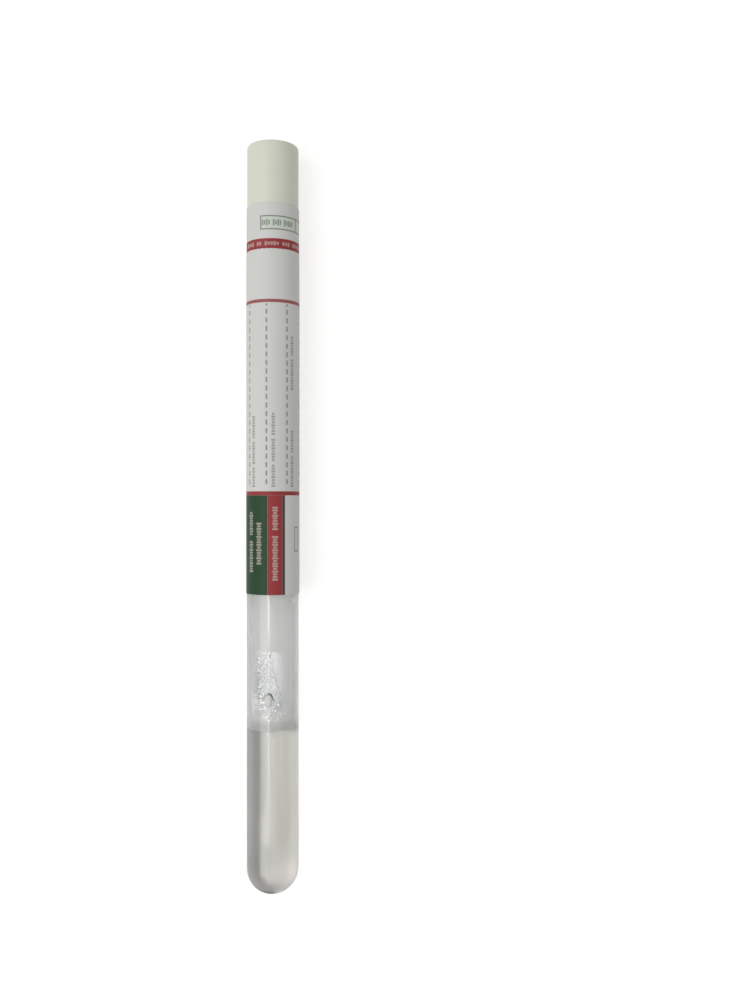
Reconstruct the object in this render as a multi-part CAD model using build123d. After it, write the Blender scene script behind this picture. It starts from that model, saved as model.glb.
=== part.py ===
from build123d import *
from math import cos, degrees, radians, sin
import os

# A specimen swab tube: a round-bottomed plastic tube with transport gel in its lower end, closed by
# the cap of the swab that it holds. One printed wrap joins cap and tube, and tears at the mouth.
#
# Every piece is drawn upright about Z, with the tube's mouth at z = 0, the cap above it and the
# tube below. lay_down() then turns it about X, so that its cap points along +Y and what faced +Y
# faces down. It rests on z = 0 on the wrap's two edges, which leave a bare strip between them.

# Tube, a 12 x 150 mm test tube with a hemispherical end
TUBE_LENGTH = 150.0
TUBE_RADIUS = 6.1
TUBE_WALL = 1.6
RIM_ROUND = 0.3

# Cap, one moulding of a long grip and a bullet-nosed plug
GRIP_LENGTH = 25.2
GRIP_RADIUS = 6.0
GRIP_TOP_ROUND = 0.7
GRIP_FOOT_ROUND = 0.5
PLUG_LENGTH = 7.3
PLUG_CLEARANCE = 0.05
PLUG_TAPER = 0.07
PLUG_NOSE_ROUND = 2.9
SOCKET_DEPTH = 9.0

# Swab shaft, thicker where it leaves the plug
SHAFT_ROOT_RADIUS = 1.31
SHAFT_RADIUS = 1.23
SHAFT_ROOT_TAPER = 12.0
SWAB_REACH = 139.2
SHAFT_END_COVER = 3.5

# Swab bud, wound fibre with its widest place near the tip
BUD_LENGTH = 14.0
BUD_RADIUS = 2.425
BUD_NECK_RADIUS = 1.3
BUD_SHOULDER = 5.5
BUD_WAIST_RADIUS = 1.75
BUD_WAIST = 10.5

# Transport gel, with a slanted surface and a well in which the swab stands
GEL_SURFACE_DEPTH = 111.0
GEL_SLANT_DEGREES = 2.5
WELL_CLEARANCE = 0.3

# Printed wrap: the label on the tube and the tamper seal on the cap, which part at a perforation.
# Both stop short of a full turn, by an angle that leaves a strip of that width bare on the tube.
WRAP_THICKNESS = 0.15
LABEL_LENGTH = 79.5
SEAL_LENGTH = 10.5
PERFORATION_GAP = 0.1
BARE_STRIP_WIDTH = 2.0

# Worked out from the sizes above
BORE_RADIUS = TUBE_RADIUS - TUBE_WALL
ROUND_END_CENTRE = TUBE_RADIUS - TUBE_LENGTH
PLUG_ROOT_RADIUS = BORE_RADIUS - PLUG_CLEARANCE
PLUG_RADIUS = PLUG_ROOT_RADIUS - PLUG_TAPER
SHAFT_END = SHAFT_END_COVER - SWAB_REACH
BUD_CENTRE = BUD_RADIUS - SWAB_REACH
BARE_STRIP_ANGLE = BARE_STRIP_WIDTH / TUBE_RADIUS
AXIS_HEIGHT = (TUBE_RADIUS + WRAP_THICKNESS) * cos(BARE_STRIP_ANGLE / 2)
MOUTH_Y = (TUBE_LENGTH - GRIP_LENGTH) / 2


def turned(*lines, start=0.0, arc=360.0):
    """A solid turned about Z from a closed half-section, whose points are (radius, height).

    start and arc are the turn's first angle and its size, in degrees from +X towards +Y."""
    section = make_face([edge for line in lines for edge in line.edges()])
    solid = revolve(Plane.XZ * section, Axis.Z, revolution_arc=arc)
    return Rot(Z=start) * solid


def rounded(solid, circle_radius, height, rounding):
    """The turned solid with one of its circular edges, at that radius and height, rounded."""
    circles = solid.edges().filter_by(GeomType.CIRCLE)
    at_height = circles.filter_by_position(Axis.Z, height - 0.01, height + 0.01)
    return fillet(at_height.filter_by(lambda edge: abs(edge.radius - circle_radius) < 0.01), rounding)


def bowl(radius):
    """The quarter circle of a hemisphere about the round end's centre, from its pole to its side."""
    return CenterArc((0, ROUND_END_CENTRE), radius, -90, 90)


def make_tube():
    """The tube: a straight wall, an open rounded rim and a hemispherical end of the same wall."""
    tube = turned(
        Line((0, ROUND_END_CENTRE - BORE_RADIUS), (0, ROUND_END_CENTRE - TUBE_RADIUS)),
        bowl(TUBE_RADIUS),
        Polyline(
            (TUBE_RADIUS, ROUND_END_CENTRE),
            (TUBE_RADIUS, 0),
            (BORE_RADIUS, 0),
            (BORE_RADIUS, ROUND_END_CENTRE),
        ),
        bowl(BORE_RADIUS),
    )
    tube = rounded(tube, TUBE_RADIUS, 0, RIM_ROUND)
    return rounded(tube, BORE_RADIUS, 0, RIM_ROUND)


def make_cap():
    """The cap: a closed grip that sits on the rim, and a plug with a blind socket for the shaft."""
    nose_start = PLUG_NOSE_ROUND - PLUG_LENGTH
    nose_radius = PLUG_RADIUS - PLUG_NOSE_ROUND
    cap = turned(
        Polyline(
            (0, GRIP_LENGTH),
            (GRIP_RADIUS, GRIP_LENGTH),
            (GRIP_RADIUS, 0),
            (PLUG_ROOT_RADIUS, 0),
            (PLUG_RADIUS, nose_start),
        ),
        CenterArc((nose_radius, nose_start), PLUG_NOSE_ROUND, -90, 90),
        Polyline(
            (nose_radius, -PLUG_LENGTH),
            (SHAFT_ROOT_RADIUS, -PLUG_LENGTH),
            (SHAFT_ROOT_RADIUS, SOCKET_DEPTH),
            (0, SOCKET_DEPTH),
            (0, GRIP_LENGTH),
        ),
    )
    cap = rounded(cap, GRIP_RADIUS, GRIP_LENGTH, GRIP_TOP_ROUND)
    return rounded(cap, GRIP_RADIUS, 0, GRIP_FOOT_ROUND)


def make_shaft():
    """The shaft: a rod pressed into the cap's socket, tapering just below the plug."""
    return turned(
        Polyline(
            (0, SOCKET_DEPTH),
            (SHAFT_ROOT_RADIUS, SOCKET_DEPTH),
            (SHAFT_ROOT_RADIUS, -PLUG_LENGTH),
            (SHAFT_RADIUS, -PLUG_LENGTH - SHAFT_ROOT_TAPER),
            (SHAFT_RADIUS, SHAFT_END),
            (0, SHAFT_END),
            (0, SOCKET_DEPTH),
        )
    )


def make_bud():
    """The bud: fibre wound on the shaft's end, swelling from a thin neck to a hemispherical tip."""
    neck = BUD_LENGTH - SWAB_REACH
    return turned(
        Line((SHAFT_RADIUS, neck), (BUD_NECK_RADIUS, neck)),
        Bezier(
            (BUD_NECK_RADIUS, neck),
            (BUD_WAIST_RADIUS, BUD_WAIST - SWAB_REACH),
            (BUD_RADIUS, BUD_SHOULDER - SWAB_REACH),
            (BUD_RADIUS, BUD_CENTRE),
        ),
        CenterArc((0, BUD_CENTRE), BUD_RADIUS, -90, 90),
        Polyline((0, -SWAB_REACH), (0, SHAFT_END), (SHAFT_RADIUS, SHAFT_END), (SHAFT_RADIUS, neck)),
    )


def make_well():
    """The space that the swab needs in the gel, from above the surface to just below the tip."""
    radius = BUD_RADIUS + WELL_CLEARANCE
    return turned(
        Polyline((0, BUD_CENTRE - radius), (0, 0), (radius, 0), (radius, BUD_CENTRE)),
        CenterArc((0, BUD_CENTRE), radius, -90, 90),
    )


def make_medium():
    """The gel: it fills the bore's round end up to a plane that slants across the tube."""
    filled = turned(
        Polyline((0, ROUND_END_CENTRE - BORE_RADIUS), (0, 0), (BORE_RADIUS, 0)),
        Line((BORE_RADIUS, 0), (BORE_RADIUS, ROUND_END_CENTRE)),
        bowl(BORE_RADIUS),
    )
    slant = radians(GEL_SLANT_DEGREES)
    surface = Plane(origin=(0, 0, -GEL_SURFACE_DEPTH), z_dir=(-sin(slant), 0, cos(slant)))
    return split(filled, bisect_by=surface, keep=Keep.BOTTOM) - make_well()


def make_wrap(inner_radius, low, high):
    """A paper sleeve from height low to height high, open along a strip that faces +Y."""
    open_degrees = degrees(BARE_STRIP_ANGLE)
    outer_radius = inner_radius + WRAP_THICKNESS
    return turned(
        Polyline(
            (inner_radius, low),
            (outer_radius, low),
            (outer_radius, high),
            (inner_radius, high),
            (inner_radius, low),
        ),
        start=90 + open_degrees / 2,
        arc=360 - open_degrees,
    )


def lay_down(piece):
    """The upright piece laid along Y, mouth at MOUTH_Y, with its axis at AXIS_HEIGHT."""
    return Location((0, MOUTH_Y, AXIS_HEIGHT), (-90, 0, 0)) * piece


PIECES = {
    "tube": make_tube(),
    "transport_medium": make_medium(),
    "label": make_wrap(TUBE_RADIUS, -LABEL_LENGTH, 0),
    "tamper_seal": make_wrap(GRIP_RADIUS, PERFORATION_GAP, SEAL_LENGTH),
    "cap": make_cap(),
    "swab_shaft": make_shaft(),
    "swab_bud": make_bud(),
}

os.makedirs("parts", exist_ok=True)
for name, piece in PIECES.items():
    export_step(lay_down(piece), f"parts/{name}.step")
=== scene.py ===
import bmesh
import bpy
import numpy as np
from mathutils import Matrix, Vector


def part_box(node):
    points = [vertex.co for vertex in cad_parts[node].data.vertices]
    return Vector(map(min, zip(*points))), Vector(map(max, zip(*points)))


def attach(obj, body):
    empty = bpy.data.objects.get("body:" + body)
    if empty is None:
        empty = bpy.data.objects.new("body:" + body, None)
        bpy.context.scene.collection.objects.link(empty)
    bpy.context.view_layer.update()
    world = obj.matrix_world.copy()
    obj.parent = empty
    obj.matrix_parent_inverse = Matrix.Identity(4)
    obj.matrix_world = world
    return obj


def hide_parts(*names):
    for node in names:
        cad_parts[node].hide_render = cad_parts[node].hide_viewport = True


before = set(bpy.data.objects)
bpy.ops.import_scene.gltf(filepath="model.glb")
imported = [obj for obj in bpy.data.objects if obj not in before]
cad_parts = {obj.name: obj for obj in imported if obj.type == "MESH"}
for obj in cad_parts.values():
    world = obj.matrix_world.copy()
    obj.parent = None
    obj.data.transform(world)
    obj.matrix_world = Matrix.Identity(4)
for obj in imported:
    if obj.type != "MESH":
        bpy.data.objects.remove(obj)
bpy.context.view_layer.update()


# ---------------------------------------------------------------------------------------------
# The table: a white sheet under the tube, which keeps the tube's soft shadow, and the camera that
# looks straight down on it from a little to the right of the tube.

def add_node(tree, kind, sockets=None, **settings):
    """A node of that kind with its settings made; a socket takes a value, or another's link."""
    node = tree.nodes.new(kind)
    for name, value in settings.items():
        setattr(node, name, value)
    for name, value in (sockets or {}).items():
        if isinstance(value, bpy.types.NodeSocket):
            tree.links.new(value, node.inputs[name])
        else:
            node.inputs[name].default_value = value
    return node


def new_material(name):
    """An empty node material and the node tree in it."""
    material = bpy.data.materials.new(name)
    material.use_nodes = True
    material.node_tree.nodes.clear()
    return material, material.node_tree


def maths(tree, operation, *values):
    """The result of one sum on numbers or sockets."""
    node = add_node(tree, "ShaderNodeMath", dict(enumerate(values)), operation=operation)
    return node.outputs[0]


def between(tree, number, low, high, start=0.3, end=0.7, **settings):
    """The number carried from the range start to end over to the range low to high."""
    spread = add_node(tree, "ShaderNodeMapRange", {
        "Value": number, "From Min": start, "From Max": end, "To Min": low, "To Max": high},
        **settings)
    return spread.outputs[0]


def object_place(tree):
    """Where a point of the piece is, as the coordinates of its object."""
    return add_node(tree, "ShaderNodeTexCoord").outputs["Object"]


def place_parts(tree):
    """The same place as three numbers: across the tube towards +X, along it, and up."""
    return add_node(tree, "ShaderNodeSeparateXYZ", {0: object_place(tree)}).outputs[:3]


def finish_material(tree, surface):
    """Leads the last shader to the material's output."""
    add_node(tree, "ShaderNodeOutputMaterial", {"Surface": surface.outputs[0]})


MM = 0.001
tube_low, tube_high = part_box("tube")
AXIS_HEIGHT = (tube_low.z + tube_high.z) / 2
MOUTH_Y = tube_high.y
ROUND_END_Y = tube_low.y

CAMERA_HEIGHT = 229.4 * MM
CAMERA_X = 24.03 * MM
CAMERA_Y = 4.71 * MM
CAMERA_LENS = 35.07
CAMERA_SENSOR = 36
camera_data = bpy.data.cameras.new("camera")
camera_data.sensor_width = CAMERA_SENSOR
camera_data.lens = CAMERA_LENS
camera_data.clip_start = 10 * MM
camera = bpy.data.objects.new("camera", camera_data)
camera.location = (CAMERA_X, CAMERA_Y, AXIS_HEIGHT + CAMERA_HEIGHT)
bpy.context.scene.collection.objects.link(camera)
bpy.context.scene.camera = camera

# Light bounces off the sheet as off plain pale paper. The camera sees it white. What the tube
# mirrors or lets through of it is white too, but for a band of painted shadow on the left, which
# stands in for the tube's shadow beside the light it gathers. Under the gel that painted shadow is
# darker still and lies a little further right.
PLAIN_SHEET = (0.78, 0.78, 0.76)
SEEN_PAPER, SEEN_GLOW = 0.40, 0.72
THROUGH_PAPER, THROUGH_GLOW = 0.05, 0.95
GEL_SURFACE_Y = MOUTH_Y - 111.0 * MM
GEL_EDGE = 1 * MM
DARK_FROM_X, DARK_TO_X, DARK_EDGE = -10.0 * MM, -0.7 * MM, 1.6 * MM
PAINTED_SHADOW_SHARE, PAINTED_SHADOW_SHARE_GEL = 0.45, 0.78
DARK_SHIFT_GEL = 0.8 * MM


def white_sheet(tree, paper, glow, strength=1.0):
    """A sheet that is part paper, which takes shadows, and part its own light, which doesn't."""
    shaded = add_node(tree, "ShaderNodeBsdfDiffuse", {"Color": (paper, paper, paper, 1)})
    lit = add_node(tree, "ShaderNodeEmission", {
        "Color": (glow, glow, glow, 1), "Strength": strength})
    return add_node(tree, "ShaderNodeAddShader", {0: shaded.outputs[0], 1: lit.outputs[0]})


sheet_material, tree = new_material("table sheet")
rays = add_node(tree, "ShaderNodeLightPath")
seen = maths(tree, "MAXIMUM", rays.outputs["Is Camera Ray"], rays.outputs["Is Glossy Ray"])
seen = maths(tree, "MAXIMUM", seen, rays.outputs["Is Transmission Ray"])
plain = add_node(tree, "ShaderNodeBsdfDiffuse", {"Color": (*PLAIN_SHEET, 1)})
across, along, _ = place_parts(tree)
# The band of painted shadow, seen only in what is mirrored and let through.
under_gel = between(tree, along, 0.0, 1.0, GEL_SURFACE_Y + GEL_EDGE, GEL_SURFACE_Y - GEL_EDGE)
darkest = maths(tree, "MULTIPLY_ADD", under_gel, PAINTED_SHADOW_SHARE_GEL - PAINTED_SHADOW_SHARE, PAINTED_SHADOW_SHARE)
off_dark = maths(tree, "SUBTRACT", across, maths(tree, "MULTIPLY", under_gel, DARK_SHIFT_GEL))
off_dark = maths(tree, "SUBTRACT", off_dark, (DARK_FROM_X + DARK_TO_X) / 2)
half_dark = (DARK_TO_X - DARK_FROM_X) / 2
in_painted_shadow = between(
    tree, maths(tree, "ABSOLUTE", off_dark), 1.0, 0.0,
    half_dark - DARK_EDGE, half_dark + DARK_EDGE, interpolation_type="SMOOTHSTEP")
left_over = maths(tree, "SUBTRACT", 1.0, maths(tree, "MULTIPLY", in_painted_shadow, darkest))
in_view = white_sheet(tree, SEEN_PAPER, SEEN_GLOW)
through = white_sheet(tree, THROUGH_PAPER, THROUGH_GLOW, left_over)
white = add_node(tree, "ShaderNodeMixShader", {
    0: rays.outputs["Is Camera Ray"], 1: through.outputs[0], 2: in_view.outputs[0]})
finish_material(tree, add_node(
    tree, "ShaderNodeMixShader", {0: seen, 1: plain.outputs[0], 2: white.outputs[0]}))

TABLE_HALF = 3.0
sheet_mesh = bpy.data.meshes.new("table_sheet")
sheet_mesh.from_pydata(
    [(-TABLE_HALF, -TABLE_HALF, 0), (TABLE_HALF, -TABLE_HALF, 0),
     (TABLE_HALF, TABLE_HALF, 0), (-TABLE_HALF, TABLE_HALF, 0)], [], [(0, 1, 2, 3)])
sheet_mesh.materials.append(sheet_material)
table_sheet = bpy.data.objects.new("table_sheet", sheet_mesh)
bpy.context.scene.collection.objects.link(table_sheet)


# ---------------------------------------------------------------------------------------------
# The light: a broad soft lamp above on the left, two weak short strips towards the round end,
# which draw the line of gloss on that half of the tube, and an even white surround.

def add_lamp(name, place, aim, size, power, colour):
    """A rectangular lamp at that place, turned to face the point aim."""
    data = bpy.data.lights.new(name, "AREA")
    data.shape = "RECTANGLE"
    data.size, data.size_y = size
    data.energy = power
    data.color = colour
    lamp = bpy.data.objects.new(name, data)
    away = np.array(place, float) - np.array(aim, float)
    away /= np.linalg.norm(away)
    across = np.cross((0.0, 1.0, 0.0), away)
    across /= np.linalg.norm(across)
    turn = np.eye(4)
    turn[:3, 0], turn[:3, 1], turn[:3, 2] = across, np.cross(away, across), away
    turn[:3, 3] = place
    lamp.matrix_world = Matrix(turn.tolist())
    bpy.context.scene.collection.objects.link(lamp)


def from_above(angle, distance, along=0.0):
    """A point that far from the tube's axis, at that angle from overhead towards +X, and y."""
    turn = np.radians(angle)
    return distance * np.sin(turn), along, AXIS_HEIGHT + distance * np.cos(turn)


def on_axis(along):
    """The point of the tube's axis at that y."""
    return 0.0, along, AXIS_HEIGHT


STRIP_ANGLE, STRIP_DISTANCE = -13.4, 0.60
WHITE = (1.0, 1.0, 1.0)
add_lamp("key_lamp", from_above(-35, 0.80), aim=on_axis(0.0),
         size=(0.50, 0.90), power=2.95, colour=(1.0, 1.0, 0.985))
add_lamp("strip_lamp", from_above(STRIP_ANGLE, STRIP_DISTANCE, -0.081), aim=on_axis(-0.02),
         size=(0.05, 0.05), power=0.125, colour=WHITE)
add_lamp("end_strip_lamp", from_above(STRIP_ANGLE, STRIP_DISTANCE, -0.225), aim=on_axis(-0.06),
         size=(0.035, 0.10), power=0.105, colour=WHITE)

SURROUND_COLOUR, SURROUND_STRENGTH = (1.0, 0.975, 0.93), 0.515
world = bpy.data.worlds.new("surround")
world.use_nodes = True
tree = world.node_tree
tree.nodes.clear()
rays = add_node(tree, "ShaderNodeLightPath")
even = add_node(tree, "ShaderNodeBackground", {
    "Color": (*SURROUND_COLOUR, 1), "Strength": SURROUND_STRENGTH})
bright = add_node(tree, "ShaderNodeBackground", {"Color": (*WHITE, 1), "Strength": 1.0})
surround = add_node(tree, "ShaderNodeMixShader", {
    0: rays.outputs["Is Camera Ray"], 1: even.outputs[0], 2: bright.outputs[0]})
add_node(tree, "ShaderNodeOutputWorld", {"Surface": surround.outputs[0]})
bpy.context.scene.world = world
bpy.context.scene.view_settings.view_transform = "Standard"


# ---------------------------------------------------------------------------------------------
# The tube: a thick-walled test tube with a hemispherical end, injection moulded in natural
# polypropylene, which is clear but milky, with an open rounded rim that the cap sits on.

def softened(corners, cut, steps=6):
    """A profile with its inner corners rounded.

    corners is an array of (radius, along) points. Each corner but the first and last gives way to a
    curve that leaves the two sides at a distance cut from it, a parabola between them. One more
    point just outside each end of the curve keeps the sides beside it flat."""
    corners = np.array(corners, float)
    middle = corners[1:-1, None]
    back = corners[:-2, None] - middle
    ahead = corners[2:, None] - middle
    back *= cut / np.linalg.norm(back, axis=2, keepdims=True)
    ahead *= cut / np.linalg.norm(ahead, axis=2, keepdims=True)
    part = np.linspace(0, 1, steps)[None, :, None]
    curve = middle + back * (1 - part) ** 2 + ahead * part ** 2
    outside = 1.25
    curve = np.concatenate([middle + back * outside, curve, middle + ahead * outside], axis=1)
    return np.vstack([corners[:1], curve.reshape(-1, 2), corners[-1:]])


def grid_faces(rows, columns, closed):
    """The four-sided faces of a grid of points, whose last column joins its first where closed."""
    index = np.arange(rows * columns).reshape(rows, columns)
    beside = np.roll(index, -1, axis=1)
    faces = np.stack([index[:-1], beside[:-1], beside[1:], index[1:]], axis=-1)
    return (faces if closed else faces[:, :-1]).reshape(-1, 4)


def on_cylinder(radius, angle, along):
    """Points at that radius from the tube's axis, that angle from overhead towards +X, and y."""
    radius, angle, along = np.broadcast_arrays(radius, angle, along)
    places = [radius * np.sin(angle), along, AXIS_HEIGHT + radius * np.cos(angle)]
    return np.stack(places, axis=-1).reshape(-1, 3)


def make_piece(name, points, faces, material, body, slot):
    """One smooth mesh in its place, its coincident points merged and its faces turned outwards."""
    mesh = bpy.data.meshes.new(name)
    mesh.from_pydata(points.tolist(), [], faces.tolist())
    work = bmesh.new()
    work.from_mesh(mesh)
    bmesh.ops.remove_doubles(work, verts=work.verts, dist=1e-7)
    bmesh.ops.recalc_face_normals(work, faces=work.faces)
    work.to_mesh(mesh)
    work.free()
    mesh.polygons.foreach_set("use_smooth", np.ones(len(mesh.polygons), bool))
    mesh.materials.append(material)
    piece = bpy.data.objects.new(name, mesh)
    bpy.context.scene.collection.objects.link(piece)
    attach(piece, body)
    return piece


def turned_surface(profile, around=144):
    """Points and faces of a profile of (radius, along) points turned once about the tube's axis."""
    angle = np.linspace(0, 2 * np.pi, around, endpoint=False)
    points = on_cylinder(profile[:, :1], angle[None], profile[:, 1:])
    return points, grid_faces(len(profile), around, closed=True)


def quarter(radius, centre_y, steps=28):
    """The profile of a hemisphere that closes towards -Y, from its pole to its side."""
    turn = np.linspace(0, np.pi / 2, steps)
    return np.column_stack([radius * np.sin(turn), centre_y - radius * np.cos(turn)])


def straight(radius, places):
    """The profile of a cylinder: that radius at each y of places."""
    return np.column_stack([np.full(len(places), radius), places])


def speckle(tree, size, detail=3.0, stretch=(1, 1, 1)):
    """A cloudy number about one half, with patches of that size, drawn out along each axis."""
    scaled = add_node(tree, "ShaderNodeMapping", {
        "Vector": object_place(tree), "Scale": tuple(1 / (size * s) for s in stretch)})
    noise = add_node(tree, "ShaderNodeTexNoise", {
        "Vector": scaled.outputs[0], "Scale": 1.0, "Detail": detail})
    return noise.outputs["Fac"]


def blended(tree, share, first, second):
    """Two colours, or sockets of colour, mixed by share."""
    mix = add_node(tree, "ShaderNodeMix", data_type="RGBA")
    for socket, value in ((0, share), (6, first), (7, second)):
        if isinstance(value, bpy.types.NodeSocket):
            tree.links.new(value, mix.inputs[socket])
        else:
            mix.inputs[socket].default_value = value if socket == 0 else (*value, 1)
    return mix.outputs[2]


def raised(tree, number, height):
    """A surface direction that follows the number as a relief of that height."""
    bump = add_node(tree, "ShaderNodeBump", {"Height": number, "Distance": height})
    return bump.outputs["Normal"]


def light_passes(tree, shader, colour):
    """The shader, but with the lamps' light let through in that colour instead of shut off."""
    passing = add_node(tree, "ShaderNodeBsdfTransparent", {"Color": (*colour, 1)})
    rays = add_node(tree, "ShaderNodeLightPath")
    return add_node(tree, "ShaderNodeMixShader", {
        0: rays.outputs["Is Shadow Ray"], 1: shader.outputs[0], 2: passing.outputs[0]})


OUTER_RADIUS = 6.1 * MM
BORE_RADIUS = 4.5 * MM
RIM_CUT = 0.3 * MM
RIM_REACH = 1 * MM
GATE_RADIUS = 0.9 * MM
GATE_DEPTH = 0.12 * MM
ROUND_CENTRE_Y = ROUND_END_Y + OUTER_RADIUS

outside = quarter(OUTER_RADIUS, ROUND_CENTRE_Y)
outside[:, 1] += GATE_DEPTH * np.exp(-(outside[:, 0] / GATE_RADIUS) ** 4)
inside = quarter(BORE_RADIUS, ROUND_CENTRE_Y)[::-1]
walls = np.linspace(ROUND_CENTRE_Y, MOUTH_Y - 2 * RIM_REACH, 24)[1:]
rim = softened([
    (OUTER_RADIUS, MOUTH_Y - RIM_REACH), (OUTER_RADIUS, MOUTH_Y),
    (BORE_RADIUS, MOUTH_Y), (BORE_RADIUS, MOUTH_Y - RIM_REACH)], RIM_CUT)
tube_profile = np.vstack([
    outside, straight(OUTER_RADIUS, walls), rim, straight(BORE_RADIUS, walls[::-1]), inside])

SMEAR_TOP_Y = -29.9 * MM
SMEAR_FOOT_Y = -45.2 * MM
SMEAR_CENTRE = np.radians(-4.0)
SMEAR_HALF_ANGLE = np.radians(42.5)
SMEAR_NARROWING = 0.12
WET_EDGE = 0.4 * MM


def tongue_share(tree, across, along, height, start):
    """One well inside the tongue of gel on the upper wall, an ellipse of high power that narrows
    towards its foot, falling to nought from the share start of its reach to its edge."""
    middle, half = (SMEAR_TOP_Y + SMEAR_FOOT_Y) / 2, (SMEAR_TOP_Y - SMEAR_FOOT_Y) / 2
    width = maths(tree, "SUBTRACT", across, BORE_RADIUS * np.sin(SMEAR_CENTRE))
    width = maths(tree, "DIVIDE", width, BORE_RADIUS * np.sin(SMEAR_HALF_ANGLE))
    length = maths(tree, "DIVIDE", maths(tree, "SUBTRACT", along, middle), half)
    narrowing = maths(tree, "MULTIPLY_ADD", length, -SMEAR_NARROWING, 1.0)
    width = maths(tree, "MULTIPLY", width, narrowing)
    length = maths(tree, "POWER", maths(tree, "ABSOLUTE", length), 4.0)
    width = maths(tree, "POWER", maths(tree, "ABSOLUTE", width), 3.0)
    inside = between(tree, maths(tree, "ADD", width, length), 1.0, 0.0, start, 1.0)
    return maths(tree, "MULTIPLY", inside, maths(tree, "GREATER_THAN", height, 0.0))


def frosted(tree, across, along, height):
    """One on the bore where it is dry and its fine moulded frost shows, and nought on the outside,
    below the gel's surface, and under the tongue of gel."""
    square = maths(tree, "MULTIPLY_ADD", across, across, maths(tree, "MULTIPLY", height, height))
    within = maths(tree, "LESS_THAN", square, ((OUTER_RADIUS + BORE_RADIUS) / 2) ** 2)
    filled = between(tree, along, 1.0, 0.0, GEL_SURFACE_Y - WET_EDGE, GEL_SURFACE_Y + WET_EDGE)
    wet = maths(tree, "MAXIMUM", filled, tongue_share(tree, across, along, height, 0.7))
    return maths(tree, "MULTIPLY", within, maths(tree, "SUBTRACT", 1.0, wet))


WALL_DULL, WALL_BRIGHT = (0.95, 0.955, 0.95), (0.97, 0.975, 0.97)
WALL_PAINTED_GLOW = (1.0, 0.985, 0.972)
FROST_DRY, FROST_NEAR_GEL = (0.86, 0.87, 0.87), (0.70, 0.71, 0.71)
NEAR_GEL_FROM, NEAR_GEL_TO = GEL_SURFACE_Y + 1.6 * MM, GEL_SURFACE_Y + 2.6 * MM
ROUGH_GEL, ROUGH_DRY = 0.12, 0.10
ROUGH_FROM, ROUGH_TO = GEL_SURFACE_Y - 6 * MM, GEL_SURFACE_Y + 4 * MM
ROUGH_HAZE = 0.02
ROUGH_FROST = 0.70
CLEARNESS, FROST_LOSS = 0.97, 0.29
LOW_END_FROM, LOW_END_TO = ROUND_CENTRE_Y + 0.9 * MM, ROUND_CENTRE_Y + 2.9 * MM
GLOW_SLANT = 1.1
GLOW_FROM, GLOW_TO = -1.0 * MM, 2.7 * MM
GLOW_POLISH = 0.3

# The glow is painted light on the round end's right side, where the wall gathers light: the wall
# is painted brighter there.
tube_plastic, tree = new_material("natural polypropylene")
haze = speckle(tree, 7 * MM, detail=2, stretch=(1, 2, 1))
across, along, up = place_parts(tree)
frost = frosted(tree, across, along, maths(tree, "SUBTRACT", up, AXIS_HEIGHT))
rough = between(tree, along, ROUGH_GEL, ROUGH_DRY, ROUGH_FROM, ROUGH_TO)
rough = maths(tree, "ADD", rough, between(tree, haze, 0.0, ROUGH_HAZE))
# The dry frost is darker in a band just above the gel's surface.
near_gel = between(tree, along, 1.0, 0.0, NEAR_GEL_FROM, NEAR_GEL_TO)
low_end = between(tree, along, 1.0, 0.0, LOW_END_FROM, LOW_END_TO)
slanted = maths(tree, "MULTIPLY_ADD", along, GLOW_SLANT, across)
slanted = between(tree, slanted, 0.0, 1.0, GLOW_SLANT * ROUND_CENTRE_Y + GLOW_FROM,
                  GLOW_SLANT * ROUND_CENTRE_Y + GLOW_TO)
glow = maths(tree, "MULTIPLY", low_end, slanted)
wall = blended(tree, haze, WALL_DULL, WALL_BRIGHT)
wall = blended(tree, glow, wall, WALL_PAINTED_GLOW)
rough = maths(tree, "MULTIPLY", rough, maths(tree, "MULTIPLY_ADD", glow, -GLOW_POLISH, 1.0))
clear = add_node(tree, "ShaderNodeBsdfPrincipled", {
    "Base Color": blended(tree, frost, wall, blended(tree, near_gel, FROST_DRY, FROST_NEAR_GEL)),
    "Roughness": maths(tree, "MULTIPLY_ADD", frost, ROUGH_FROST, rough),
    "IOR": 1.49,
    "Transmission Weight": maths(tree, "MULTIPLY_ADD", frost, -FROST_LOSS, CLEARNESS)})
surface = light_passes(tree, clear, (0.97, 0.97, 0.96))
depth = add_node(tree, "ShaderNodeVolumeAbsorption", {
    "Color": (0.50, 0.51, 0.51, 1), "Density": 10.0})
add_node(tree, "ShaderNodeOutputMaterial", {
    "Surface": surface.outputs[0], "Volume": depth.outputs[0]})

tube_wall = make_piece(
    "tube_wall", *turned_surface(tube_profile), tube_plastic, "tube", "tube_plastic")
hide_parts("tube")


# ---------------------------------------------------------------------------------------------
# The transport gel: a soft milky agar that fills the round end, set while the tube leant, so that
# its surface slants and climbs the wall a little.

GEL_RADIUS = BORE_RADIUS + 0.02 * MM
GEL_SLANT = np.tan(np.radians(2.5))
CLIMB_HEIGHT = 0.06 * MM
CLIMB_REACH = 0.6 * MM


def gel_surface(radius, angle):
    """The y of the gel's surface: a slanting plane that curls up by the wall in an exponential."""
    climb = CLIMB_HEIGHT * np.exp((radius - GEL_RADIUS) / CLIMB_REACH)
    return GEL_SURFACE_Y + GEL_SLANT * radius * np.sin(angle) + climb


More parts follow.
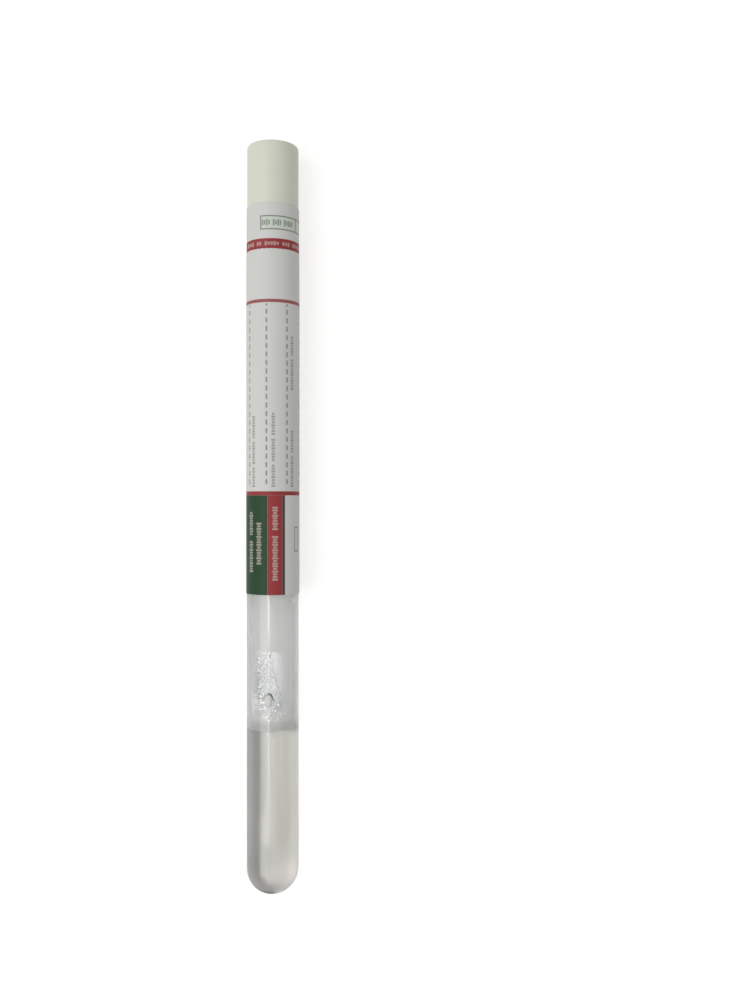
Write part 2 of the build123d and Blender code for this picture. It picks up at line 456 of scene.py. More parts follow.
def gel_body(around=120, wall_rows=17, surface_rows=19):
    """The gel as a grid: rows run from the pole of the round end along the wall and in again over
    the surface to its middle, and columns run once around the tube's axis."""
    angle = np.linspace(0, 2 * np.pi, around, endpoint=False)[None]
    bowl = quarter(GEL_RADIUS, ROUND_CENTRE_Y, 24)
    share = np.linspace(0, 1, wall_rows + 1)[1:, None]
    edge = gel_surface(GEL_RADIUS, angle)
    wall_y = ROUND_CENTRE_Y + (edge - ROUND_CENTRE_Y) * share
    inwards = GEL_RADIUS * (1 - np.linspace(0, 1, surface_rows + 1)[1:, None] ** 1.5)
    radius = np.vstack([bowl[:, :1], np.full((wall_rows, 1), GEL_RADIUS), inwards])
    along = np.vstack([np.repeat(bowl[:, 1:], around, 1), wall_y, gel_surface(inwards, angle)])
    return on_cylinder(radius, angle, along), grid_faces(len(radius), around, closed=True)


MILK_LEAN = np.radians(12.0)
MILK_FROM, MILK_TO = 3.2 * MM, 4.3 * MM
MILK_CLEAR, MILK_CLOUDED = 0.97, 0.40
MILK_DULL, MILK_BRIGHT = (0.97, 0.955, 0.90), (0.99, 0.975, 0.925)
MILK_END_PAINTED_LIGHT = (1.0, 0.94, 0.92)
MILK_PAINTED_SHADE = (0.76, 0.76, 0.75)
MILK_AT_SURFACE = (0.70, 0.71, 0.70)
END_FROM, END_TO = ROUND_CENTRE_Y - 3 * MM, ROUND_CENTRE_Y + 1 * MM
SHADED_FROM, SHADED_TO = -1.0 * MM, 2.8 * MM
SURFACE_BAND_FROM, SURFACE_BAND_TO = GEL_SURFACE_Y - 0.25 * MM, GEL_SURFACE_Y - 0.05 * MM
MILK_ROUGH_END, MILK_ROUGH = 0.28, 0.78
MILK_ROUGH_FROM, MILK_ROUGH_TO = ROUND_CENTRE_Y - 1 * MM, ROUND_CENTRE_Y + 4 * MM

# The milk is thickest in a layer under the upper wall, which leans a little to the right. Its
# colour is painted greyer on its left side, as shade, and painted warm and brighter in the round
# end, as the light that gathers there.
gel, tree = new_material("transport gel")
cloud = speckle(tree, 2.5 * MM, detail=2, stretch=(1, 2, 1))
lean = add_node(tree, "ShaderNodeVectorMath", {
    0: object_place(tree), 1: (np.sin(MILK_LEAN), 0, np.cos(MILK_LEAN))}, operation="DOT_PRODUCT")
lean = maths(tree, "SUBTRACT", lean.outputs["Value"], AXIS_HEIGHT * np.cos(MILK_LEAN))
across, along, _ = place_parts(tree)
# The gel is greyer in a thin band at its surface.
skin = maths(tree, "MULTIPLY_ADD", across, -GEL_SLANT, along)
skin = between(tree, skin, 0.0, 1.0, SURFACE_BAND_FROM, SURFACE_BAND_TO)
end = between(tree, along, 1.0, 0.0, END_FROM, END_TO)
shaded = between(tree, across, 1.0, 0.0, SHADED_FROM, SHADED_TO)
shaded = maths(tree, "MULTIPLY", shaded, maths(tree, "SUBTRACT", 1.0, end))
milk = blended(tree, cloud, MILK_DULL, MILK_BRIGHT)
milk = blended(tree, end, milk, MILK_END_PAINTED_LIGHT)
milk = blended(tree, shaded, milk, MILK_PAINTED_SHADE)
rough = between(tree, along, MILK_ROUGH_END, MILK_ROUGH, MILK_ROUGH_FROM, MILK_ROUGH_TO)
milky = add_node(tree, "ShaderNodeBsdfPrincipled", {
    "Base Color": blended(tree, skin, milk, MILK_AT_SURFACE),
    "Roughness": rough,
    "IOR": 1.34,
    "Subsurface Weight": 1.0,
    "Subsurface Radius": (1.0, 0.95, 0.9),
    "Subsurface Scale": 3.0 * MM,
    "Transmission Weight": between(tree, lean, MILK_CLEAR, MILK_CLOUDED, MILK_FROM, MILK_TO)})
finish_material(tree, light_passes(tree, milky, (0.93, 0.92, 0.89)))

gel_fill = make_piece("gel_fill", *gel_body(), gel, "tube", "gel")
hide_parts("transport_medium")


# ---------------------------------------------------------------------------------------------
# The smear: a thin tongue of gel left on the upper wall where the tube was tipped, smooth on its
# right side and full of fine bubbles on its left, with one large bubble and some froth below it.

SMEAR_THICKNESS = 0.15 * MM
SMEAR_GAP = 0.22 * MM


def gel_smear(rows=60, columns=48):
    """A closed lens of gel on the bore. Across, its thickness falls to nothing as a circle does,
    with lumps from two crossing sines, and its edge wanders as a sine. Along, its width is an
    ellipse of high power, and it starts thin at the top. Outer and inner side make one loop, and
    in one more row at the foot they meet."""
    share = np.linspace(0, 1, rows)[:, None]
    side = np.linspace(-1, 1, columns)[None]
    half = SMEAR_HALF_ANGLE * (1 - np.abs(2 * share - 1) ** 4) ** 0.4
    half = half * (1 + 0.06 * np.sin(17 * share + 2 * side))
    angle = SMEAR_CENTRE + half * side + 0.03 * np.sin(9 * share)
    along = SMEAR_TOP_Y + (SMEAR_FOOT_Y - SMEAR_TOP_Y) * share
    lumps = 1 + 0.22 * np.sin(41 * share + 11 * side) * np.sin(23 * side - 13 * share)
    depth = SMEAR_THICKNESS * (1 - side ** 2) ** 0.5 * np.minimum(1, 9 * share) ** 0.5 * lumps
    angle, along, depth = np.broadcast_arrays(angle, along, depth)
    outer = on_cylinder(np.full(depth.shape, BORE_RADIUS - SMEAR_GAP), angle, along)
    inner = on_cylinder(BORE_RADIUS - SMEAR_GAP - depth, angle, along)
    loop = np.concatenate([
        outer.reshape(rows, columns, 3), inner.reshape(rows, columns, 3)[:, ::-1]], axis=1)
    loop = np.concatenate([loop, (loop[-1:] + loop[-1:, ::-1]) / 2])
    return loop.reshape(-1, 3), grid_faces(rows + 1, 2 * columns, closed=True)


FILM_GREY, FILM_DULL, FILM_BRIGHT = (0.70, 0.72, 0.76), (0.93, 0.95, 0.98), (0.97, 0.98, 1.0)
FILM_THIN, FILM_THICK = 0.12, 0.85
THICK_FROM_X, THICK_TO_X = -1.3 * MM, 0.3 * MM
PALE_FROM_Y, PALE_TO_Y = -43.2 * MM, -40.0 * MM

thin_gel, tree = new_material("thin gel film")
cloud = speckle(tree, 0.8 * MM, detail=2)
across, along, up = place_parts(tree)
tongue = tongue_share(tree, across, along, maths(tree, "SUBTRACT", up, AXIS_HEIGHT), 0.75)
thick = between(tree, across, FILM_THIN, FILM_THICK, THICK_FROM_X, THICK_TO_X)
pale = maths(tree, "MULTIPLY", between(tree, across, 0.0, 1.0, THICK_FROM_X, THICK_TO_X),
             between(tree, along, 0.0, 1.0, PALE_FROM_Y, PALE_TO_Y))
film = add_node(tree, "ShaderNodeBsdfPrincipled", {
    "Base Color": blended(tree, pale, FILM_GREY, blended(tree, cloud, FILM_DULL, FILM_BRIGHT)),
    "Roughness": between(tree, cloud, 0.32, 0.42),
    "IOR": 1.04,
    "Transmission Weight": maths(tree, "SUBTRACT", 1.0, maths(tree, "MULTIPLY", thick, tongue))})
finish_material(tree, light_passes(tree, film, (0.95, 0.95, 0.95)))
make_piece("gel_smear", *gel_smear(), thin_gel, "tube", "gel")

BUBBLE_RINGS = 5
BUBBLE_SIDES = 8
BUBBLE_FLATNESS = 0.4
BUBBLE_FACING = np.radians(-16.0)


def bubble_cloud(angle, along, depth, size):
    """One small flattened ball of a few dozen faces for each angle, y, depth below the bore and
    radius: a ball in polar steps, whose short axis is turned by one small angle for all."""
    polar = np.linspace(0, np.pi, BUBBLE_RINGS)[:, None]
    turn = np.linspace(0, 2 * np.pi, BUBBLE_SIDES, endpoint=False)[None]
    ball = np.stack(np.broadcast_arrays(
        np.sin(polar) * np.cos(turn), np.sin(polar) * np.sin(turn), np.cos(polar)), axis=-1)
    centres = on_cylinder(BORE_RADIUS - depth, angle, along)
    across, lengthwise, outward = ball.reshape(1, -1, 3).transpose(2, 0, 1) * size[:, None]
    outward = BUBBLE_FLATNESS * outward
    cosine, sine = np.cos(BUBBLE_FACING), np.sin(BUBBLE_FACING)
    points = centres[:, None] + np.stack([
        across * cosine + outward * sine, lengthwise, outward * cosine - across * sine], axis=-1)
    faces = grid_faces(BUBBLE_RINGS, BUBBLE_SIDES, closed=True)
    steps = np.arange(len(centres))[:, None, None] * BUBBLE_RINGS * BUBBLE_SIDES
    return points.reshape(-1, 3), (faces[None] + steps).reshape(-1, 4)


BIG_BUBBLE_Y = -41.4 * MM
BIG_BUBBLE_ANGLE = np.radians(-6.0)
BIG_HALF_WIDTH = 1.0 * MM
BIG_HALF_LENGTH = 1.6 * MM
BIG_DEPTH = 0.9 * MM
BIG_GAP = 0.02 * MM

# Fine bubbles fill the tongue's left side evenly, by steps that never line up, and reach further
# right on the way down. A collar sits to the left of the large bubble, froth below it, and a few
# stray. Four larger ones lie around it. Each kind has its range of degrees, its y in mm (a range,
# or a middle and a spread), and the shape and scale of its radii in mm.
FINE, COLLAR, FROTH, STRAY = 300, 100, 120, 6
EVEN_STEPS, JITTER = (0.7549, 0.5698), 0.02
FINE_TOP, FINE_LENGTH = -29.9, 11.0
FINE_LEFT_TOP, FINE_LEFT_FOOT = -44, -38
FINE_RIGHT_TOP, FINE_RIGHT_FOOT = 2, 28
COLLAR_ANGLES, FROTH_ANGLES, STRAY_ANGLES = (-60, -24), (-22, 42), (-62, 34)
COLLAR_PLACE, FROTH_PLACE, STRAY_PLACE = (-42.4, 1.2), (-44.5, 1.2), (-45, -25)
FINE_SIZE, COLLAR_SIZE = (9.0, 0.0165), (6.0, 0.023)
FROTH_SIZE, STRAY_SIZE = (4.0, 0.046), (4.0, 0.02)
ROUND_BIG = np.radians([-12, -96, -160, 118])
ROUND_BIG_SIZES = [0.36, 0.18, 0.30, 0.24]
SMALLEST_BUBBLE, LARGEST_BUBBLE = 0.06 * MM, 0.36 * MM
SUNK = 0.3

draw = np.random.default_rng(3)
spread = np.arange(FINE)[:, None] * EVEN_STEPS % 1
spread = (spread + draw.uniform(-JITTER, JITTER, (FINE, 2))) % 1
left = FINE_LEFT_TOP + (FINE_LEFT_FOOT - FINE_LEFT_TOP) * spread[:, 1]
right = FINE_RIGHT_TOP + (FINE_RIGHT_FOOT - FINE_RIGHT_TOP) * spread[:, 1] ** 1.5
bubble_angle = np.radians(np.concatenate([
    left + (right - left) * spread[:, 0], draw.uniform(*COLLAR_ANGLES, COLLAR),
    draw.uniform(*FROTH_ANGLES, FROTH), draw.uniform(*STRAY_ANGLES, STRAY),
    np.degrees(BIG_BUBBLE_ANGLE + np.cos(ROUND_BIG) * BIG_HALF_WIDTH / BORE_RADIUS)]))
bubble_y = np.concatenate([
    MM * (FINE_TOP - FINE_LENGTH * spread[:, 1]), MM * draw.normal(*COLLAR_PLACE, COLLAR),
    MM * draw.normal(*FROTH_PLACE, FROTH), MM * draw.uniform(*STRAY_PLACE, STRAY),
    BIG_BUBBLE_Y + np.sin(ROUND_BIG) * BIG_HALF_LENGTH])
bubble_size = MM * np.concatenate([
    draw.gamma(*FINE_SIZE, FINE), draw.gamma(*COLLAR_SIZE, COLLAR),
    draw.gamma(*FROTH_SIZE, FROTH), draw.gamma(*STRAY_SIZE, STRAY), ROUND_BIG_SIZES])
bubble_size = np.clip(bubble_size, SMALLEST_BUBBLE, LARGEST_BUBBLE)

# The large bubble pushes the others off, out to a ring around it, but not the four.
PUSH_REACH, PUSH_START, PUSH_SHARE = 1.4, 1.12, 0.2
beside_x = (bubble_angle - BIG_BUBBLE_ANGLE) * BORE_RADIUS / BIG_HALF_WIDTH
beside_y = (bubble_y - BIG_BUBBLE_Y) / BIG_HALF_LENGTH
apart = np.hypot(beside_x, beside_y)
moved = PUSH_START + PUSH_SHARE * apart
pushed = np.where(apart < PUSH_REACH, moved / apart, 1.0)
pushed[-len(ROUND_BIG):] = 1.0
bubble_angle = BIG_BUBBLE_ANGLE + (bubble_angle - BIG_BUBBLE_ANGLE) * pushed
bubble_y = BIG_BUBBLE_Y + (bubble_y - BIG_BUBBLE_Y) * pushed

froth, tree = new_material("bubble skin")
thick = speckle(tree, 0.5 * MM)
finish_material(tree, add_node(tree, "ShaderNodeBsdfPrincipled", {
    "Base Color": blended(tree, thick, (0.93, 0.94, 0.95), (0.99, 0.99, 0.99)),
    "Roughness": between(tree, thick, 0.14, 0.24),
    "IOR": 1.7,
    "Metallic": 0.5,
    "Transmission Weight": 0.0}))
make_piece(
    "gel_bubbles", *bubble_cloud(bubble_angle, bubble_y, bubble_size * SUNK, bubble_size),
    froth, "tube", "gel")


def big_bubble(rings=24, sides=48):
    """Half an egg on the bore's wall: a disc of points in polar steps, bent to the bore, whose
    depth below it follows a circle, closed by the same disc lying on the wall."""
    share = np.linspace(0, 1, rings)[:, None]
    turn = np.linspace(0, 2 * np.pi, sides, endpoint=False)[None]
    reach = np.concatenate([np.sin(share * np.pi / 2), np.cos(share[1:] * np.pi / 2)])
    depth = np.concatenate([BIG_DEPTH * np.cos(share * np.pi / 2), np.zeros((rings - 1, 1))])
    angle = BIG_BUBBLE_ANGLE + reach * np.cos(turn) * BIG_HALF_WIDTH / BORE_RADIUS
    along = BIG_BUBBLE_Y + reach * np.sin(turn) * BIG_HALF_LENGTH
    points = on_cylinder(BORE_RADIUS - BIG_GAP - depth, angle, along)
    return points, grid_faces(2 * rings - 1, sides, closed=True)


EGG_CLEAR, EGG_PAINTED_SHADE = (0.97, 0.97, 0.96), (0.10, 0.11, 0.10)
EDGE_FROM, EDGE_TO = 0.62, 0.80
UPPER_LEAN, UPPER_FROM, UPPER_TO = 0.25, -0.25, 0.45

# The bubble's film is clear, with painted shade along its upper right edge, in place of the dark
# rim that refraction gives.
bubble_film, tree = new_material("large bubble film")
wet = speckle(tree, 1.0 * MM)
across, along, _ = place_parts(tree)
across = maths(tree, "SUBTRACT", across, BORE_RADIUS * np.sin(BIG_BUBBLE_ANGLE))
across = maths(tree, "DIVIDE", across, BIG_HALF_WIDTH)
along = maths(tree, "DIVIDE", maths(tree, "SUBTRACT", along, BIG_BUBBLE_Y), BIG_HALF_LENGTH)
reach = maths(tree, "SQRT", maths(
    tree, "MULTIPLY_ADD", across, across, maths(tree, "MULTIPLY", along, along)))
edge = between(tree, reach, 0.0, 1.0, EDGE_FROM, EDGE_TO)
upper = maths(tree, "MULTIPLY_ADD", across, UPPER_LEAN, along)
upper = between(tree, upper, 0.0, 1.0, UPPER_FROM, UPPER_TO)
finish_material(tree, add_node(tree, "ShaderNodeBsdfPrincipled", {
    "Base Color": blended(tree, maths(tree, "MULTIPLY", edge, upper), EGG_CLEAR, EGG_PAINTED_SHADE),
    "Roughness": between(tree, wet, 0.02, 0.06),
    "IOR": 1.33,
    "Transmission Weight": 0.72}))
make_piece("gel_large_bubble", *big_bubble(), bubble_film, "tube", "gel")


# ---------------------------------------------------------------------------------------------
# The swab's shaft: an extruded rod of white polystyrene, pressed into the cap's plug, where it is
# a little thicker.

cap_low, cap_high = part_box("cap")
shaft_low, shaft_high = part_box("swab_shaft")
SHAFT_RADIUS = 1.23 * MM
SHAFT_ROOT_RADIUS = 1.31 * MM
SHAFT_EDGE_CUT = 0.15 * MM
PLUG_NOSE_Y = cap_low.y
SHAFT_TAPER_END_Y = PLUG_NOSE_Y - 12 * MM

shaft_profile = softened([
    (0, shaft_low.y), (SHAFT_RADIUS, shaft_low.y), (SHAFT_RADIUS, SHAFT_TAPER_END_Y),
    (SHAFT_ROOT_RADIUS, PLUG_NOSE_Y), (SHAFT_ROOT_RADIUS, shaft_high.y), (0, shaft_high.y)],
    SHAFT_EDGE_CUT)

shaft_plastic, tree = new_material("white polystyrene")
drawn = speckle(tree, 0.8 * MM, detail=3, stretch=(1, 20, 1))
finish_material(tree, add_node(tree, "ShaderNodeBsdfPrincipled", {
    "Base Color": blended(tree, drawn, (0.72, 0.72, 0.68), (0.79, 0.79, 0.75)),
    "Roughness": between(tree, drawn, 0.30, 0.42),
    "IOR": 1.58,
    "Subsurface Weight": 1.0,
    "Subsurface Radius": (1.0, 0.95, 0.85),
    "Subsurface Scale": 3.0 * MM,
    "Normal": raised(tree, drawn, 0.015 * MM)}))
shaft = make_piece(
    "swab_rod", *turned_surface(shaft_profile, 48), shaft_plastic, "swab", "shaft_plastic")
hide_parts("swab_shaft")


# ---------------------------------------------------------------------------------------------
# The swab's bud: viscose fibre wound crosswise on the shaft's end, thin at the neck and full at
# the tip, with no glue showing.

bud_low, bud_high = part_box("swab_bud")
BUD_LENGTH = bud_high.y - bud_low.y
BUD_RADIUS = 2.38 * MM
BUD_NECK_RADIUS = 1.26 * MM
BUD_WIDEST = 0.17
FIBRE_LIFT = 0.022 * MM


def bud_radius(share):
    """The bud's radius at a share of its length from the tip: round at the tip, widest a sixth of
    the way up, and falling in a smooth curve to the thin neck."""
    tip = np.sqrt(np.clip(1 - (1 - share / BUD_WIDEST) ** 2, 0, 1))
    fall = np.clip((share - BUD_WIDEST) / (1 - BUD_WIDEST), 0, 1)
    body = BUD_NECK_RADIUS + (BUD_RADIUS - BUD_NECK_RADIUS) * (1 - fall ** 1.15) ** 1.5
    return np.where(share < BUD_WIDEST, tip * BUD_RADIUS, body)


def wound_bud(rows=180, columns=144):
    """The bud as a grid along and around, with ridges of fibre that cross in two directions: the
    sum of slanting waves, rubbed flat towards the tip, plus the lay of single fibres."""
    share = np.linspace(0, 1, rows)[:, None] ** 1.3
    angle = np.linspace(0, 2 * np.pi, columns, endpoint=False)[None]
    height = share * BUD_LENGTH / MM
    ridge = np.sin(7 * angle + 5.2 * height) + np.sin(-6 * angle + 4.1 * height + 1)
    ridge = ridge + 0.7 * np.sin(19 * angle - 9 * height) + 0.6 * np.sin(23 * angle + 8 * height)
    lift = FIBRE_LIFT * ridge * np.minimum(1, 6 * share)
    radius = bud_radius(share) + lift * (bud_radius(share) > 0)
    points = on_cylinder(radius, angle, bud_low.y + share * BUD_LENGTH)
    return points, grid_faces(rows, columns, closed=True)


bud_fibre, tree = new_material("wound viscose fibre")
lay = speckle(tree, 0.18 * MM, detail=4, stretch=(1, 3, 1))
shade = speckle(tree, 1.5 * MM, detail=2)
finish_material(tree, add_node(tree, "ShaderNodeBsdfPrincipled", {
    "Base Color": blended(
        tree, maths(tree, "MULTIPLY", lay, shade), (0.66, 0.65, 0.58), (0.82, 0.81, 0.75)),
    "Roughness": between(tree, lay, 0.75, 0.95),
    "Sheen Weight": 0.35,
    "Sheen Roughness": 0.4,
    "Subsurface Weight": 0.7,
    "Subsurface Radius": (1.0, 0.95, 0.85),
    "Subsurface Scale": 3.0 * MM,
    "Normal": raised(tree, lay, 0.05 * MM)}))
bud = make_piece("swab_wound_bud", *wound_bud(), bud_fibre, "swab", "bud_fibre")
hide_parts("swab_bud")


# ---------------------------------------------------------------------------------------------
# The cap: one moulding of warm white polyethylene, a long round grip to hold the swab by and a
# bullet-nosed plug that closes the tube.

GRIP_RADIUS = 6.0 * MM
GRIP_TOP_CUT = 0.8 * MM
GRIP_FOOT_CUT = 0.5 * MM
PLUG_ROOT_RADIUS = 4.43 * MM
PLUG_RADIUS = 4.37 * MM
PLUG_NOSE = 2.9 * MM
SOCKET_RADIUS = SHAFT_ROOT_RADIUS - 0.02 * MM
SOCKET_FLOOR_Y = PLUG_NOSE_Y + 0.4 * MM
GRIP_TOP_REACH, GRIP_FOOT_REACH = 3 * MM, 2 * MM

grip_top = softened([
    (0, cap_high.y), (GRIP_RADIUS, cap_high.y), (GRIP_RADIUS, cap_high.y - GRIP_TOP_REACH)],
    GRIP_TOP_CUT, 10)
grip_side = straight(GRIP_RADIUS, np.linspace(
    cap_high.y - GRIP_TOP_REACH - 1 * MM, MOUTH_Y + GRIP_FOOT_REACH + 1 * MM, 9))
grip_foot = softened([
    (GRIP_RADIUS, MOUTH_Y + GRIP_FOOT_REACH), (GRIP_RADIUS, MOUTH_Y),
    (PLUG_ROOT_RADIUS, MOUTH_Y)], GRIP_FOOT_CUT)
turn = np.linspace(0, np.pi / 2, 14)
nose = np.column_stack([
    PLUG_RADIUS - PLUG_NOSE + PLUG_NOSE * np.cos(turn),
    PLUG_NOSE_Y + PLUG_NOSE - PLUG_NOSE * np.sin(turn)])
socket = [(SOCKET_RADIUS, PLUG_NOSE_Y), (SOCKET_RADIUS, SOCKET_FLOOR_Y), (0, SOCKET_FLOOR_Y)]
cap_profile = np.vstack([grip_top, grip_side, grip_foot, nose, socket])

CAP_DULL, CAP_BRIGHT = (0.665, 0.692, 0.603), (0.715, 0.742, 0.655)
CAP_RUBBED = (0.76, 0.78, 0.74)

cap_plastic, tree = new_material("warm white polyethylene")
tint = speckle(tree, 9 * MM, detail=2)
scuff = speckle(tree, 1.1 * MM, detail=5, stretch=(1, 1.6, 1))
grain = speckle(tree, 0.12 * MM, detail=2)
rubbed = between(tree, scuff, 0.0, 0.35, 0.60, 0.78)
finish_material(tree, add_node(tree, "ShaderNodeBsdfPrincipled", {
    "Base Color": blended(tree, rubbed, blended(tree, tint, CAP_DULL, CAP_BRIGHT), CAP_RUBBED),
    "Roughness": between(tree, scuff, 0.42, 0.55),
    "IOR": 1.5,
    "Subsurface Weight": 0.15,
    "Subsurface Radius": (1.0, 0.9, 0.7),
    "Subsurface Scale": 1.2 * MM,
    "Normal": raised(tree, grain, 0.012 * MM)}))
cap = make_piece("cap_moulding", *turned_surface(cap_profile), cap_plastic, "swab", "cap_plastic")
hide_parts("cap")


# ---------------------------------------------------------------------------------------------
# The label: a printed paper wrap glued round the tube, white with red lines, dotted writing lines,
# rows of small print and a block of colour fields. It is open along a bare strip underneath, and
# perforated at the tube's mouth.

label_low, label_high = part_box("label")
BARE_STRIP = 2.0 * MM
STRIP_HALF_ANGLE = BARE_STRIP / OUTER_RADIUS / 2
PERFORATIONS = 36
TAB_LENGTH = 0.047 * MM
TAB_FLOOR = -0.6
END_ROW = 0.12 * MM
WAVE_HEIGHT = 0.006 * MM
THINNED_BY, THINNED_REACH = 0.07 * MM, 3 * MM
GLUE_GAP = 0.01 * MM
LABEL_RADIUS = OUTER_RADIUS + 0.14 * MM


def paper_sleeve(inner, outer, low, high, rows, torn_low, torn_high, thinned, columns=432):
    """A thin sleeve as a grid: the loop of its section, inner side up and outer side down, carried
    round from one edge of the bare strip to the other, with a row close to each end to keep the
    paper flat up to it. A torn end has tabs of paper wherever a sine is above its floor. The outer
    side waves as a sine and is thinned towards its high end. The two edges are closed flat."""
    angle = np.linspace(-np.pi + STRIP_HALF_ANGLE, np.pi - STRIP_HALF_ANGLE, columns)
    tab = TAB_LENGTH * (np.sin(angle * PERFORATIONS) > TAB_FLOOR)
    near = END_ROW / (high - low)
    share = np.concatenate([[0], np.linspace(near, 1 - near, rows - 2), [1]])[:, None]
    low_edge, high_edge = low - tab * torn_low, high + tab * torn_high
    up = low_edge + (high_edge - low_edge) * share
    wave = WAVE_HEIGHT * (np.sin(3 * angle + 40 * share) - 1)
    thin = thinned * np.exp((up - high) / THINNED_REACH)
    sides = np.concatenate([np.full(up.shape, inner), (outer + wave - thin)[::-1]])
    along = np.concatenate([up, up[::-1]])
    shut = (sides + sides[::-1]) / 2
    radius = np.concatenate([shut[:, :1], sides, shut[:, -1:]], axis=1)
    along = np.concatenate([along[:, :1], along, along[:, -1:]], axis=1)
    angle = np.concatenate([angle[:1], angle, angle[-1:]])
    points = on_cylinder(radius.T, angle[:, None], along.T)
    return points, grid_faces(columns + 2, 2 * rows, closed=True)


EDGE = 0.06
DEGREE_EDGE = 0.6
BLOCK_HALF, BLOCK_EDGE = 0.37, 0.09
WORD_EDGE = 0.04
UNEVEN_STEP, UNEVEN_SHARE = 2.4, 0.22


def strip(tree, number, centre, half_width, soft):
    """One within half_width of centre, nought outside, with an edge as soft as given."""
    away = maths(tree, "ABSOLUTE", maths(tree, "SUBTRACT", number, centre))
    return between(tree, away, 1.0, 0.0, half_width - soft, half_width + soft)


def span(tree, number, low, high, soft):
    """One from low to high, nought outside."""
    return strip(tree, number, (low + high) / 2, (high - low) / 2, soft)


def both(tree, first, second):
    """The product of two shares: one where both are."""
    return maths(tree, "MULTIPLY", first, second)


def either(tree, first, second):
    """The larger of two shares."""
    return maths(tree, "MAXIMUM", first, second)


def field(tree, place, left, right, near, far):
    """One in a field of the print: left to right in degrees, near to far in mm from the mouth."""
    degrees, distance = place
    return both(tree, span(tree, degrees, left, right, DEGREE_EDGE),
                span(tree, distance, near, far, EDGE))


def wrap_place(tree):
    """Where a point of the wrap is: degrees from overhead towards +X, and mm below the mouth."""
    across, along, up = place_parts(tree)
    angle = maths(tree, "ARCTAN2", across, maths(tree, "SUBTRACT", up, AXIS_HEIGHT))
    below = maths(tree, "SUBTRACT", MOUTH_Y, along)
    return maths(tree, "DEGREES", angle), maths(tree, "DIVIDE", below, MM)


def blocks(tree, across, along, lines, half_width, pitch, soft):
    """Rows of small blocks of uneven height that stand in for print. pitch is the length along that
    one block and its gap take; each line is its place across, then pairs of ends in that pitch."""
    beat = maths(tree, "DIVIDE", along, pitch)
    block = strip(tree, maths(tree, "FRACT", beat), 0.5, BLOCK_HALF, BLOCK_EDGE)
    tall = maths(tree, "MULTIPLY", maths(tree, "FLOOR", beat), UNEVEN_STEP)
    tall = maths(tree, "MULTIPLY_ADD", maths(tree, "SINE", tall), UNEVEN_SHARE, 1.0)
    share = 0.0
    for place, *ends in lines:
        row = 0.0
        for first, last in zip(ends[::2], ends[1::2]):
            word = span(tree, beat, first, last, WORD_EDGE)
            row = either(tree, row, word) if row else word
        offset = maths(tree, "DIVIDE", maths(tree, "SUBTRACT", across, place), tall)
        row = both(tree, row, strip(tree, offset, 0.0, half_width, soft))
        share = either(tree, share, row) if share else row
    return both(tree, share, block)


PAPER = (0.652, 0.662, 0.660)
PAPER_SHADE = (0.626, 0.637, 0.635)
RED_INK = (0.30, 0.036, 0.040)
GREEN_INK = (0.014, 0.055, 0.022)
DARK_INK = (0.085, 0.050, 0.050)
GREY_INK = (0.16, 0.19, 0.17)
PALE_INK = (0.56, 0.50, 0.47)


def bare_paper(tree):
    """The colour of the paper before it is printed: two close whites in soft patches."""
    return blended(tree, speckle(tree, 5 * MM, detail=3, stretch=(1, 2, 1)), PAPER_SHADE, PAPER)


def paper_material(tree, coloured):
    """Coated paper under the print, whose gloss and fibre show through it."""
    pulp = speckle(tree, 0.35 * MM, detail=4, stretch=(1, 2.5, 1))
    finish_material(tree, add_node(tree, "ShaderNodeBsdfPrincipled", {
        "Base Color": coloured,
        "Roughness": between(tree, pulp, 0.46, 0.60),
        "IOR": 1.45,
        "Specular IOR Level": 0.35,
        "Normal": raised(tree, pulp, 0.006 * MM)}))


# The print, in degrees from overhead and mm below the mouth. Writing lines are dotted at one pitch
# around the wrap, and each has a caption beside it.
LINE_PITCH, LINE_ANGLE, LINE_HALF_WIDTH = 45.0, -8.0, 1.8
DOT_PITCH, DOT_START, DOT_END, DOT_EDGE = 1.95, 0.12, 0.72, 0.06
LINES_FROM, LINES_TO = 12.6, 54.5
CAPTIONS = [
    (-129.3, 57, 67, 68, 83), (-84.3, 58, 70, 71, 83), (-39.3, 58, 66, 67, 75, 76, 83),
    (6.6, 57, 65, 66, 74, 75, 83), (50.7, 30, 37, 38, 49, 63, 71, 72, 83),
    (95.7, 58, 67, 68, 83), (140.7, 65, 73, 74, 83)]
PANEL_FROM, PANEL_TO = 56.6, 90.0
PANEL_FIELDS = [(-140.0, -5.6, GREEN_INK), (-5.6, 25.8, RED_INK), (25.8, 32.3, DARK_INK)]
PANEL_WORDS = [(-47.3, 99, 108, 110, 122), (-25.3, 103, 119), (10.5, 97, 106, 108, 125)]
LABEL_BOX, LABEL_BOX_INSIDE = (58.0, 74.0, 63.9, 69.7), (60.5, 71.5, 64.2, 69.4)
THIN_RING, THIN_RING_HALF = 11.95, 0.38
WIDE_RING, WIDE_RING_HALF = 56.15, 0.47
LINE_STRENGTH, CAPTION_STRENGTH, WORD_STRENGTH = 0.8, 0.62, 0.60
BOX_STRENGTH, THIN_RING_STRENGTH = 0.8, 0.9

label_print, tree = new_material("printed label paper")
place = degrees, below = wrap_place(tree)
colour = bare_paper(tree)

